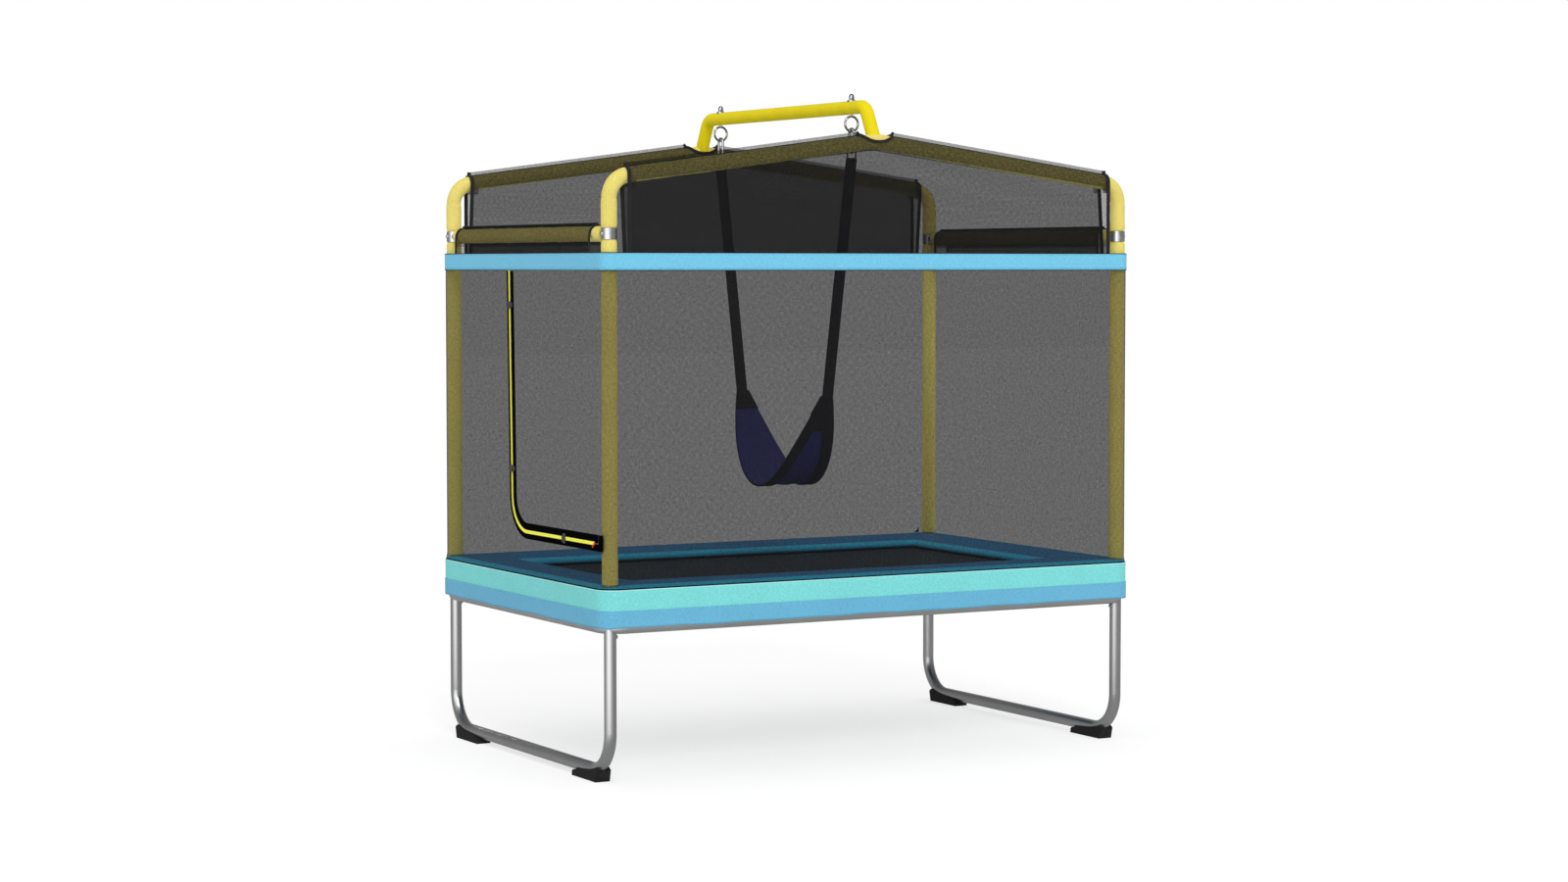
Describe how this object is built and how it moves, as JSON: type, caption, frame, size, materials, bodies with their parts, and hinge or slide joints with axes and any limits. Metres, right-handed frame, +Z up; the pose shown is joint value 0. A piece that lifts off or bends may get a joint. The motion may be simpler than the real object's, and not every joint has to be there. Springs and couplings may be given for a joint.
{
  "type": "trampoline",
  "caption": "Children's rectangular trampoline with a net enclosure, zipped door, gabled top frame and a hanging sling swing.",
  "frame": {"origin": "centre of the footprint on the floor, under the middle of the mat", "axes": "+X along the long side, away from the door; +Y towards the back; +Z up"},
  "size_m": [1.8412, 1.1952, 2.0065],
  "materials": {
    "foot_rubber": "moulded, matt",
    "galvanised_steel": "galvanised tube, satin",
    "spring_steel": "zinc plated wire",
    "mat_fabric": "woven black polypropylene",
    "black_webbing": "woven webbing",
    "pad_cover": "coated fabric over foam",
    "turquoise_fabric": "coated oxford fabric",
    "sky_fabric": "coated oxford fabric",
    "yellow_steel": "powder coated",
    "yellow_foam": "foam sleeve in a soft cover",
    "net": "knitted black mesh",
    "zip_yellow": "nylon zip coil",
    "zip_red": "red enamel",
    "chrome_steel": "bright plated",
    "seat_fabric": "woven navy fabric"
  },
  "bodies": {
    "root": {"feet": "foot_rubber", "leg_left": "galvanised_steel", "leg_right": "galvanised_steel", "end_frame_left": "galvanised_steel", "end_frame_right": "galvanised_steel", "side_rails": "galvanised_steel", "spring_rails": "galvanised_steel", "springs_front": "spring_steel", "springs_back": "spring_steel", "springs_left": "spring_steel", "springs_right": "spring_steel", "pad": "pad_cover", "skirt_upper": "turquoise_fabric", "skirt_lower": "sky_fabric", "pole_front_left": "yellow_steel", "pole_front_right": "yellow_steel", "pole_back_left": "yellow_steel", "pole_back_right": "yellow_steel", "foam_front_left": "yellow_foam", "foam_front_right": "yellow_foam", "foam_back_left": "yellow_foam", "foam_back_right": "yellow_foam", "pole_joints": "galvanised_steel", "gable_front": "yellow_steel", "gable_back": "yellow_steel", "gable_foam_front": "yellow_foam", "gable_foam_back": "yellow_foam", "end_rail_left": "yellow_steel", "end_rail_right": "yellow_steel", "end_foam_left": "yellow_foam", "end_foam_right": "yellow_foam", "net_front": "net", "net_back": "net", "net_right": "net", "net_left": "net", "net_hem": "black_webbing", "band": "sky_fabric", "gable_net_front": "net", "gable_net_back": "net", "end_net_left": "net", "end_net_right": "net", "zip_tape_wall": "black_webbing", "zip_teeth_wall": "zip_yellow", "swing_bar": "yellow_steel", "eye_bolts": "chrome_steel", "cap_nuts": "chrome_steel"},
    "mat": {"mat": "mat_fabric", "mat_loops": "black_webbing", "mat_rings": "spring_steel"},
    "swing": {"carabiners": "chrome_steel", "straps": "black_webbing", "seat": "seat_fabric"},
    "gate_front": {"gate_front": "chrome_steel"},
    "gate_back": {"gate_back": "chrome_steel"},
    "door": {"door_net": "net", "zip_tape_door": "black_webbing", "zip_teeth_door": "zip_yellow", "door_clips": "black_webbing"},
    "zip_slider": {"zip_slider": "zip_red"},
    "zip_pull": {"zip_pull": "zip_red"}
  },
  "joints": [
    {"name": "mat_bounce", "type": "slide", "parent": "root", "child": "mat", "axis": [0, 0, -1], "range_m": [0, 0.1], "stiffness_N_per_m": 2500, "springref_m": -0.03, "deforming": ["springs_front", "springs_back", "springs_left", "springs_right"]},
    {"name": "swing_pivot", "type": "hinge", "parent": "root", "child": "swing", "pos_m": [0, 0, 1.9165], "axis": [0, 1, 0], "range_deg": [-45, 45]},
    {"name": "gate_front_hinge", "type": "hinge", "parent": "swing", "child": "gate_front", "pos_m": [0, -0.434, 1.8523], "axis": [-1, 0, 0], "range_deg": [0, 20], "stiffness_Nm_per_rad": 0.1, "springref_deg": -28.65},
    {"name": "gate_back_hinge", "type": "hinge", "parent": "swing", "child": "gate_back", "pos_m": [0, 0.434, 1.8523], "axis": [1, 0, 0], "range_deg": [0, 20], "stiffness_Nm_per_rad": 0.1, "springref_deg": -28.65},
    {"name": "door_hinge", "type": "hinge", "parent": "root", "child": "door", "pos_m": [-0.9095, -0.545, 0], "axis": [0, 0, 1], "range_deg": [0, 100]},
    {"name": "zip_slide", "type": "slide", "parent": "door", "child": "zip_slider", "axis": [0, 1, 0], "range_m": [0, 0.17]},
    {"name": "zip_pull_hinge", "type": "hinge", "parent": "zip_slider", "child": "zip_pull", "pos_m": [-0.9146, 0, 0.694], "axis": [0, 1, 0], "range_deg": [0, 80]}
  ]
}
